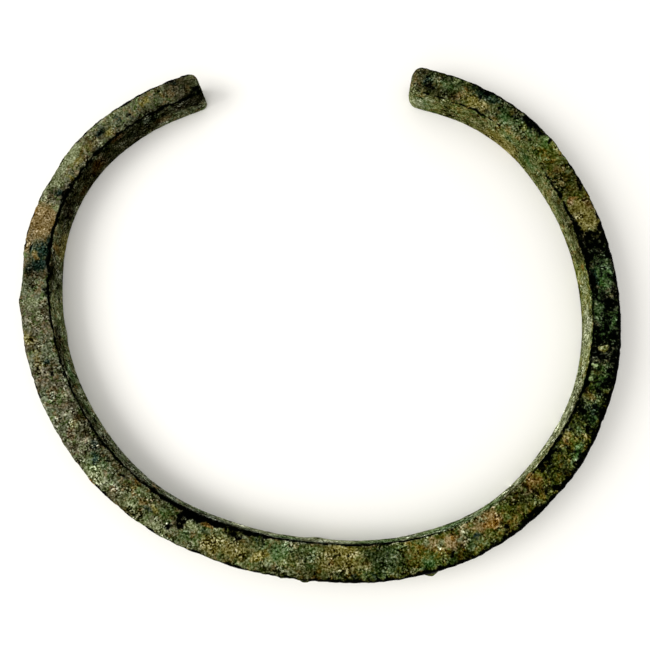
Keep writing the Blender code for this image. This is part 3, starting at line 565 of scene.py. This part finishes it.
SCALE = oval_scale()


def outer_edge(angles):
    """The outer edge at each angle, with the directions along the bar and in towards the middle."""
    point = oval_shape(angles) * SCALE
    along = (oval_shape(angles + SLOPE_STEP) - oval_shape(angles - SLOPE_STEP)) * SCALE
    along /= np.linalg.norm(along, axis=-1, keepdims=True)
    inward = np.stack([-along[..., 1], along[..., 0], np.zeros_like(along[..., 0])], axis=-1)
    return point, along, inward


def thickness(angles):
    """How thick the bar is at each angle, seen from above."""
    return smooth_values(with_ends(TAPER), (angles - LEFT_END) / SWEEP)


def rounded_inset(distance, rounding):
    """How far a rounded corner stands back at a distance from the end."""
    short = np.maximum(rounding - np.maximum(distance, 0.0), 0.0)
    return rounding - np.sqrt(rounding**2 - short**2)


def end_radius(angle):
    """The distance from the oval's middle to its outer edge at an end."""
    return np.linalg.norm(outer_edge(np.array(angle))[0])


def nearest_end(angles):
    """The distance along the bar to the nearer end, and that end's roundings and slope."""
    from_left = np.radians(angles - LEFT_END) * end_radius(LEFT_END)
    from_right = np.radians(LEFT_END + SWEEP - angles) * end_radius(RIGHT_END)
    left = from_left < from_right
    distance = np.where(left, from_left, from_right)
    corner = np.where(left, LEFT_CORNER_ROUND, RIGHT_CORNER_ROUND)
    edge = np.where(left, LEFT_TIP_EDGE_ROUND, RIGHT_TIP_EDGE_ROUND)
    left_slope = -math.tan(math.radians(LEFT_END_SKEW))
    slope = np.where(left, left_slope, math.tan(math.radians(RIGHT_END_SKEW)))
    return distance, corner, edge, slope


def station_angles():
    """Where the bar's sections stand: close together over the rounded ends, and even between them."""
    found = []
    turns = np.linspace(0, math.pi / 2, TIP_STATIONS)
    ends = ((LEFT_END, 1, LEFT_CORNER_ROUND), (LEFT_END + SWEEP, -1, RIGHT_CORNER_ROUND))
    for end, way, corner in ends:
        found.append(end + way * np.degrees(corner * (1 - np.cos(turns)) / end_radius(end)))
    between = np.linspace(found[0][-1], found[1][-1], STATIONS)[1:-1]
    return np.concatenate([found[0], between, found[1][::-1]])


def corner_and_flat(corner, following, start, flat_steps):
    """One rounded corner of every section and the flat after it.
    Gives across and up for each point, and the way out there."""
    across, up, rounding = corner
    turns = np.radians(start - 90 * np.arange(CORNER_STEPS + 1) / CORNER_STEPS)
    ways = np.stack([np.cos(turns), np.sin(turns)], axis=-1)
    columns = [(across + rounding * way[0], up + rounding * way[1]) for way in ways]
    last = columns[-1]
    first_after = (following[0] + following[2] * ways[-1][0], following[1] + following[2] * ways[-1][1])
    for step in range(1, flat_steps):
        part = step / flat_steps
        columns.append(tuple(a + (b - a) * part for a, b in zip(last, first_after)))
    ways = np.concatenate([ways, np.repeat(ways[-1:], flat_steps - 1, axis=0)])
    return columns, ways


def sections(angles):
    """Across and up for every point of every section, and each point's way out in the section."""
    thick = thickness(angles)
    distance, corner, edge, _ = nearest_end(angles)
    side_inset = rounded_inset(distance, np.minimum(corner, MOST_ROUND_SHARE * thick))
    edge_inset = rounded_inset(distance, np.minimum(edge, MOST_ROUND_SHARE * HEIGHT))
    left, right = side_inset, thick - side_inset
    low, high = edge_inset, HEIGHT - edge_inset
    most = MOST_ROUND_SHARE * np.minimum(right - left, high - low)
    outer = np.minimum(OUTER_EDGE_ROUND, most)
    inner = np.minimum(INNER_EDGE_ROUND, most)
    worn = np.minimum(smooth_values(with_ends(INNER_WEAR), angles), most)
    corners = (
        (left + outer, low + outer, outer),
        (left + outer, high - outer, outer),
        (right - worn, high - worn, worn),
        (right - inner, low + inner, inner),
    )
    steps = (OUTER_STEPS, TOP_STEPS, INNER_STEPS, UNDER_STEPS)
    columns = []
    ways = []
    for i, start in enumerate((270, 180, 90, 0)):
        found, out = corner_and_flat(corners[i], corners[(i + 1) % 4], start, steps[i])
        columns += found
        ways.append(out)
    across = np.stack([column[0] for column in columns], axis=-1)
    up = np.stack([column[1] for column in columns], axis=-1)
    return across, up, np.concatenate(ways)


def bar_points(angles, across, up):
    """The bar's points, section by section, before any relief."""
    point, along, inward = outer_edge(angles)
    thick = thickness(angles)
    distance, _, _, slope = nearest_end(angles)
    fade = np.maximum(0.0, 1.0 - distance / SKEW_REACH)
    shear = (slope * fade)[:, None] * (across - thick[:, None] / 2)
    points = point[:, None] + inward[:, None] * across[..., None] + along[:, None] * shear[..., None]
    points[..., 2] = up
    return points


def capped(rows):
    """The rows with further rings that close each end face towards its middle."""
    first, last = (
        [row.mean(axis=0) + (row - row.mean(axis=0)) * share for share in CAP_SHARES]
        for row in (rows[0], rows[-1])
    )
    return np.concatenate([first[::-1], rows, last])


def padded(rows):
    """The rows with their first and last repeated for the rings that close the ends."""
    caps = len(CAP_SHARES)
    return np.concatenate([rows[:1].repeat(caps, axis=0), rows, rows[-1:].repeat(caps, axis=0)])


def ways_out(points):
    """The direction out of the surface at every point."""
    along = np.gradient(points, axis=0)
    around = np.roll(points, -1, axis=1) - np.roll(points, 1, axis=1)
    out = np.cross(along, around)
    out /= np.maximum(np.linalg.norm(out, axis=-1, keepdims=True), 1e-12)
    return out


# The corroded surface


def field(points, size, make):
    """A noise over all points, for features of one size."""
    spots = (points.reshape(-1, 3) / size).tolist()
    return np.array([make(spot) for spot in spots]).reshape(points.shape[:-1])


def fractal(points, size, octaves, use):
    """A rough noise over all points, for one of the uses named in ASIDE."""

    def make(spot):
        return noise.fractal(spot, FRACTAL_ROUGHNESS, FRACTAL_STEP, octaves)

    return field(points + ASIDE[use] * MM, size, make)


def grain_distance(points, size, use):
    """Distance to the nearest of many scattered grains, in feature sizes."""
    return field(points + ASIDE[use] * MM, size, lambda spot: noise.voronoi(spot)[0][0])


def relief_centres():
    """Each lump or hollow as its centre, rise and reach."""
    for angle, across, up, rise, reach in RELIEF:
        turn = np.array(float(angle))
        point, _, inward = outer_edge(turn)
        centre = point + inward * (across * thickness(turn))
        centre[2] = up * HEIGHT
        yield centre, rise * MM, reach * MM


def lumps(points):
    """How far the named lumps and hollows stand out."""
    total = np.zeros(points.shape[:-1])
    for centre, rise, reach in relief_centres():
        total += rise * np.exp(-((np.linalg.norm(points - centre, axis=-1) / reach) ** 2))
    return total


def corrosion(points, roughness):
    """Crust, grains and pits. Roughness is the share of them on each face."""
    crust = CRUST_RISE * fractal(points, CRUST_SIZE, 4, "crust")
    grains = GRAIN_RISE * (GRAIN_MIDDLE - grain_distance(points, GRAIN_SIZE, "grains"))
    near_pit = grain_distance(points, PIT_SPACING, "pits") / PIT_REACH
    pitted = np.clip(0.5 + PIT_PATCH_CONTRAST * fractal(points, PIT_PATCH_SIZE, 2, "pit_patches"), 0, 1)
    pits = -PIT_DEPTH * np.clip(1.0 - near_pit**2, 0.0, 1.0) * pitted
    return roughness * (crust + grains + pits)


# The patina


def half_at_one(distance):
    """A soft hump, 1 at its middle and one half at a distance of 1."""
    return np.exp(-math.log(2) * distance**2)


def stain_fields(angles, rows_across, rows_up, points):
    """Each kind of stain as a soft field over the bar, one half at a stain's border; some kinds are also
    painted shade and painted light.
    """
    thick = thickness(angles)[:, None]
    point, _, _ = outer_edge(angles)
    steps = np.linalg.norm(np.diff(point, axis=0), axis=-1)
    travelled = np.concatenate([[0.0], np.cumsum(steps)])[:, None]
    over = np.clip(rows_across, 0.0, thick)
    down = HEIGHT - rows_up
    developed = np.where(rows_across > thick / 2, over + down, over - down)
    ragged_along = STAIN_WANDER * fractal(points, WANDER_SIZE, 3, "stains_along")
    ragged_round = STAIN_WANDER * fractal(points, WANDER_SIZE, 3, "stains_round")
    found = {}
    for kind, stains in STAINS.items():
        total = np.zeros(points.shape[:-1])
        for angle, place, length, breadth, strength in stains:
            middle = np.interp(angle, angles, travelled[:, 0])
            local = thickness(np.array(float(angle)))
            if place > 1:
                centre = local + (place - 1) * HEIGHT
            elif place < 0:
                centre = place * HEIGHT
            else:
                centre = place * local
            along = (travelled - middle + ragged_along) / (length * MM / 2)
            round_it = (developed - centre + ragged_round) / (breadth * MM / 2)
            total = np.maximum(total, strength * half_at_one(np.hypot(along, round_it)))
        found[kind] = total
    return found


def by_degrees(places, angles):
    """A curve's value for every row of the bar, as a column."""
    return smooth_values(with_ends(places), angles)[:, None]


def edge_black_and_shade_bands(angles, rows_across, rows_up, points):
    """Black patina and painted shade along the top's inner and outer edges, one half at its borders."""
    thick = thickness(angles)[:, None]
    wander = BAND_WANDER * fractal(points, WANDER_SIZE, 5, "edge_black_and_shade_bands")
    on_top, down, from_outer_edge = (
        by_degrees(band, angles) * MM for band in (INNER_BAND, INNER_BAND_DOWN, OUTER_BAND)
    )
    past_inner = (rows_across - thick) + (HEIGHT - rows_up) + wander
    past_outer = np.hypot(rows_across, HEIGHT - rows_up) + wander
    inner = half_at_one(past_inner / np.where(past_inner < 0, on_top, down)) * (rows_across > thick / 2)
    return np.maximum(INNER_BAND_STRENGTH * inner, half_at_one(past_outer / from_outer_edge))


def mottling(angles, rows_across, rows_up):
    """How far black mottles cover the top and the outer face, by degrees along the bar."""
    cover = by_degrees(MOTTLE, angles)
    thick = thickness(angles)[:, None]
    down_inner_face = np.where(rows_across > thick / 2, HEIGHT - rows_up, 0.0)
    return cover * np.exp(-((down_inner_face / MOTTLE_FADE) ** 2))


def bangle_mesh():
    """The bar as one closed mesh, with its relief and its fields of stains, painted shade and painted
    light.
    """
    angles = station_angles()
    across, up, ways = sections(angles)
    points = capped(bar_points(angles, across, up))
    solid_low, solid_high = (np.array(corner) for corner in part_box("bangle"))
    out = ways_out(points)

    all_angles, all_across, all_up = (padded(rows) for rows in (angles, across, up))
    inner_face = np.clip(ways[:, 0], 0.0, 1.0)[None, :] * np.ones((len(points), 1))
    roughness = 1.0 - (1.0 - SMOOTH_FACE_SHARE) * inner_face

    off_ground = np.clip(points[..., 2] / OUTER_EDGE_ROUND, 0.0, 1.0)
    surface = lumps(points) * off_ground
    texture = corrosion(points, roughness)
    texture = np.minimum(texture, 0.0) * (1 - off_ground) + texture * off_ground
    placed = points + out * (surface + texture)[..., None]
    placed[..., 2] = np.clip(placed[..., 2], 0.0, None)

    low = placed.min(axis=(0, 1))
    high = placed.max(axis=(0, 1))
    shift = (solid_low + solid_high) / 2 - (low + high) / 2
    shift[2] = 0.0
    placed += shift

    fields = stain_fields(all_angles, all_across, all_up, points)
    fields["edge_black_and_shade"] = edge_black_and_shade_bands(all_angles, all_across, all_up, points)
    fields["mottle"] = mottling(all_angles, all_across, all_up)
    fields["inner_face"] = inner_face
    for name, top, inner in (("earth", EARTH, INNER_EARTH), ("grain", GRAIN, INNER_GRAIN)):
        on_top = by_degrees(top, all_angles)
        fields[name] = on_top + (by_degrees(inner, all_angles) - on_top) * inner_face
    fields["relief"] = np.clip(0.5 + texture / RELIEF_RANGE, 0.0, 1.0)
    return mesh_through(placed, fields)


def mesh_through(rows, fields):
    """A closed mesh through rows of points, carrying the named fields."""
    count, around = rows.shape[:2]
    index = np.arange(count * around).reshape(count, around)
    onward = np.roll(index, -1, axis=1)
    quads = np.stack([index[:-1], onward[:-1], onward[1:], index[1:]], axis=-1).reshape(-1, 4)
    faces = quads.tolist() + [index[0][::-1].tolist(), index[-1].tolist()]
    mesh = bpy.data.meshes.new("bangle_surface")
    mesh.from_pydata(rows.reshape(-1, 3).tolist(), [], faces)
    mesh.validate()
    for name, values in fields.items():
        layer = mesh.attributes.new(name, "FLOAT", "POINT")
        layer.data.foreach_set("value", values.astype(np.float32).ravel())
    mesh.shade_smooth()
    return mesh


# Materials


def new_material(name):
    """A material with its node tree and its shader."""
    material = bpy.data.materials.new(name)
    material.use_nodes = True
    tree = material.node_tree
    return material, tree, tree.nodes["Principled BSDF"]


def fill(tree, slot, value):
    """Gives an input its plain value, or links it to another node's output."""
    if isinstance(value, bpy.types.NodeSocket):
        tree.links.new(value, slot)
    else:
        slot.default_value = value


def node(tree, kind, **inputs):
    """A node of a kind with its inputs filled. Underscores in names stand for spaces."""
    made = tree.nodes.new(kind)
    for name, value in inputs.items():
        fill(tree, made.inputs[name.replace("_", " ")], value)
    return made


def maths(tree, operation, first, second):
    """A calculation with two values, each a socket or a number."""
    made = tree.nodes.new("ShaderNodeMath")
    made.operation = operation
    for slot, value in zip(made.inputs, (first, second)):
        fill(tree, slot, value)
    return made.outputs[0]


def blend(tree, mask, under, over, mode="MIX"):
    """Under with over laid on it by a mask. Each is a socket or a colour."""
    made = tree.nodes.new("ShaderNodeMix")
    made.data_type = "RGBA"
    made.blend_type = mode
    made.clamp_factor = True
    for slot, value in zip((made.inputs[0], made.inputs[6], made.inputs[7]), (mask, under, over)):
        fill(tree, slot, value)
    return made.outputs[2]


def ranged(tree, value, low, high, to_low=0.0, to_high=1.0, smooth=True):
    """A value brought from one range to another."""
    ends = {"From_Min": low, "From_Max": high, "To_Min": to_low, "To_Max": to_high}
    made = node(tree, "ShaderNodeMapRange", Value=value, **ends)
    made.interpolation_type = "SMOOTHSTEP" if smooth else "LINEAR"
    return made.outputs["Result"]


def ragged_patch_group():
    """A soft field turned into a patch whose border is broken up by a noise."""
    group = bpy.data.node_groups.new("ragged_patch", "ShaderNodeTree")
    for name, value in (("Field", 0.0), ("Breakup", 0.5), ("Ragged", 0.6), ("Softness", 0.12)):
        socket = group.interface.new_socket(name, in_out="INPUT", socket_type="NodeSocketFloat")
        socket.default_value = value
    group.interface.new_socket("Mask", in_out="OUTPUT", socket_type="NodeSocketFloat")
    ends = group.nodes.new("NodeGroupInput")
    result = group.nodes.new("NodeGroupOutput")
    centred = maths(group, "SUBTRACT", ends.outputs["Breakup"], 0.5)
    swing = maths(group, "MULTIPLY", centred, ends.outputs["Ragged"])
    reach = maths(group, "ADD", ends.outputs["Field"], swing)
    low = maths(group, "SUBTRACT", 0.5, ends.outputs["Softness"])
    high = maths(group, "ADD", 0.5, ends.outputs["Softness"])
    group.links.new(ranged(group, reach, low, high), result.inputs["Mask"])
    return group


def patinated_bronze():
    """Olive and green crust over dark bronze, earth stains, black along the edges, and painted shade and
    light.
    """
    material, tree, shader = new_material("patinated_bronze")
    patch_group = ragged_patch_group()
    place = tree.nodes.new("ShaderNodeTexCoord").outputs["Object"]
    tones = {name: srgb(*values) for name, values in TONES.items()}

    def noise_of(size, detail, rough, distortion):
        build = {"Detail": detail, "Roughness": rough, "Distortion": distortion}
        made = node(tree, "ShaderNodeTexNoise", Vector=place, Scale=1 / (size * MM), **build)
        return made.outputs["Fac"]

    noises = {name: noise_of(*values) for name, values in NOISES.items()}

    def attribute(name):
        made = tree.nodes.new("ShaderNodeAttribute")
        made.attribute_name = name
        return made.outputs["Fac"]

    def patch(name, breakup="breakup"):
        """Where a kind of patch shows (stains, and also painted shade and light), with its border broken
        up by a noise.
        """
        made = tree.nodes.new("ShaderNodeGroup")
        made.node_tree = patch_group
        tree.links.new(attribute(name), made.inputs["Field"])
        tree.links.new(noises[breakup], made.inputs["Breakup"])
        made.inputs["Ragged"].default_value, made.inputs["Softness"].default_value = PATCHES[name]
        return made.outputs["Mask"]

    def grey(value):
        made = node(tree, "ShaderNodeCombineColor", Red=value, Green=value, Blue=value)
        return made.outputs["Color"]

    def with_gamma(colour, gamma):
        return node(tree, "ShaderNodeGamma", Color=colour, Gamma=gamma).outputs["Color"]

    def added(first, second):
        return maths(tree, "ADD", first, second)

    def times(first, second):
        return maths(tree, "MULTIPLY", first, second)

    def grained(colour, shade):
        """The colour in lighter and darker grains, by the same step to the eye in red, green and blue."""
        seen = with_gamma(colour, 1 / EYE_GAMMA)
        level = node(tree, "ShaderNodeRGBToBW", Color=seen).outputs["Val"]
        most = ranged(tree, level, 0.0, 1.0, *GRAIN_STEPS, smooth=False)
        stepped = blend(tree, 1.0, seen, grey(times(shade, most)), "ADD")
        return with_gamma(blend(tree, 1.0, stepped, (0.0, 0.0, 0.0, 1.0), "LIGHTEN"), EYE_GAMMA)

    def swing(name, most):
        """A noise as a swing to both sides of nothing."""
        return times(maths(tree, "SUBTRACT", noises[name], 0.5), most)

    def masked(name):
        """A noise brought to the range that MASKS gives it."""
        return ranged(tree, noises[name], *MASKS[name])

    earth = attribute("earth")
    inner_face = attribute("inner_face")
    top = blend(tree, masked("broad"), tones["grey_brown"], tones["grey_olive"])
    top = blend(tree, earth, top, tones["brown_olive"])
    inner = blend(tree, earth, tones["dull_green"], tones["yellow_green"])
    ground = blend(tree, inner_face, top, inner)
    warm = blend(tree, earth, tones["warm_grain"], tones["warm_grain_in_earth"])
    ground = blend(tree, masked("warm_grains"), ground, warm)
    ground = blend(tree, masked("cool_grains"), ground, tones["cool_grain"])
    # crusts in turn; the pale one also lays painted highlight and painted light
    for kind in CRUSTS:
        ground = blend(tree, patch(kind), ground, tones[kind])

    colour = blend(tree, 1.0, ground, grey(added(swing("broad", BROAD_SWING), 1.0)), "MULTIPLY")
    # umber glaze, with painted shade on the left limb's inner face
    colour = blend(tree, patch("umber_and_wall_shade"), colour, tones["umber_and_wall_shade"], "MULTIPLY")
    light = blend(tree, earth, tones["light_grain"], tones["light_grain_in_earth"])
    grain = times(attribute("grain"), masked("rough_patches"))
    colour = blend(tree, times(masked("light_grains"), grain), colour, light)
    # green tint, and the dark brown glaze that also paints shade on the left limb's inner face
    for kind in ("green_tint", "dark_patina_and_wall_shade"):
        colour = blend(tree, patch(kind), colour, tones[kind], "MULTIPLY")

    shade = added(swing("finest", FINEST_SWING), swing("middling", MIDDLING_SWING))
    shade = added(shade, ranged(tree, attribute("relief"), *DARK_HOLLOWS))
    streaked = added(swing("streaks", STREAK_SWING), swing("finest", STREAK_GRAIN_SWING))
    shade = added(shade, times(streaked, inner_face))
    colour = grained(colour, times(shade, grain))
    pore = times(masked("pores"), ranged(tree, inner_face, *PORES_BY_FACE))
    colour = blend(tree, times(pore, grain), colour, tones["pore"])

    black = maths(tree, "MAXIMUM", patch("mottle", "mottles"), patch("black"))
    black = times(black, masked("specks"))
    # black patina along the edges, with painted shade on the rounded edges turned away from the light
    black = maths(tree, "MAXIMUM", black, patch("edge_black_and_shade"))
    black = times(black, ranged(tree, patch("over_black"), *CLEAR_OF_BLACK))
    colour = blend(tree, black, colour, tones["black"])

    tree.links.new(colour, shader.inputs["Base Color"])
    tree.links.new(ranged(tree, noises["middling"], *DULL_TO_MATT), shader.inputs["Roughness"])
    bare = times(black, ranged(tree, inner_face, *BARE_METAL_BY_FACE))
    tree.links.new(bare, shader.inputs["Metallic"])
    shader.inputs["Specular IOR Level"].default_value = 0.0

    height = added(times(noises["fine"], FINE_SHARE), times(noises["finest"], FINEST_SHARE))
    bump = node(tree, "ShaderNodeBump", Strength=FINE_RELIEF_STRENGTH, Distance=FINE_RELIEF, Height=height)
    tree.links.new(bump.outputs["Normal"], shader.inputs["Normal"])
    return material


def pale_floor():
    """A plain matt floor, a little warmer than white."""
    material, _, shader = new_material("pale_floor")
    shader.inputs["Base Color"].default_value = (*FLOOR_COLOUR, 1.0)
    shader.inputs["Roughness"].default_value = FLOOR_ROUGHNESS
    shader.inputs["Specular IOR Level"].default_value = FLOOR_GLOSS
    return material


# The setting


def put_in(name, data):
    """A new object in the scene."""
    made = bpy.data.objects.new(name, data)
    bpy.context.scene.collection.objects.link(made)
    return made


def add_bangle():
    """The dressed bangle in place of its solid."""
    surface = put_in("bangle_surface", bangle_mesh())
    surface.data.materials.append(patinated_bronze())
    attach(surface, "root")
    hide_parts("bangle")


def add_floor():
    """The plain floor that the bangle lies on, which is no part of it."""
    mesh = bpy.data.meshes.new("floor")
    half = FLOOR_SIDE / 2
    corners = [(-half, -half, 0), (half, -half, 0), (half, half, 0), (-half, half, 0)]
    mesh.from_pydata(corners, [], [(0, 1, 2, 3)])
    mesh.materials.append(pale_floor())
    floor = put_in("floor", mesh)
    floor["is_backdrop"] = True


def add_window(name, place, side, power):
    """A square soft light facing the bangle."""
    lamp = bpy.data.lights.new(name, "AREA")
    lamp.shape = "SQUARE"
    lamp.size = side
    lamp.energy = power
    lamp.color = DAYLIGHT
    holder = put_in(name, lamp)
    holder.location = place
    holder.rotation_euler = (-Vector(place)).to_track_quat("-Z", "Y").to_euler()


def add_surroundings():
    """Even light from all round, as in a studio tent."""
    world = bpy.data.worlds.new("studio")
    world.use_nodes = True
    background = world.node_tree.nodes["Background"]
    background.inputs["Color"].default_value = (*DAYLIGHT, 1.0)
    background.inputs["Strength"].default_value = SKY_STRENGTH
    bpy.context.scene.world = world
    bpy.context.scene.view_settings.view_transform = "Standard"


def add_camera():
    """The camera at the photograph's place."""
    lens = bpy.data.cameras.new("camera")
    lens.sensor_width = SENSOR
    lens.lens = LENS
    lens.clip_start = CLIP_START
    camera = put_in("camera", lens)
    camera.location = CAMERA_PLACE
    camera.rotation_euler = Euler([math.radians(angle) for angle in CAMERA_TURN])
    bpy.context.scene.camera = camera


add_camera()
add_floor()
add_surroundings()
for window, setting in WINDOWS.items():
    add_window(window, *setting)
add_bangle()

for low_and_high in (SOLID_BOX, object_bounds()):
    str([[float(value) for value in corner] for corner in low_and_high]) + "\n"
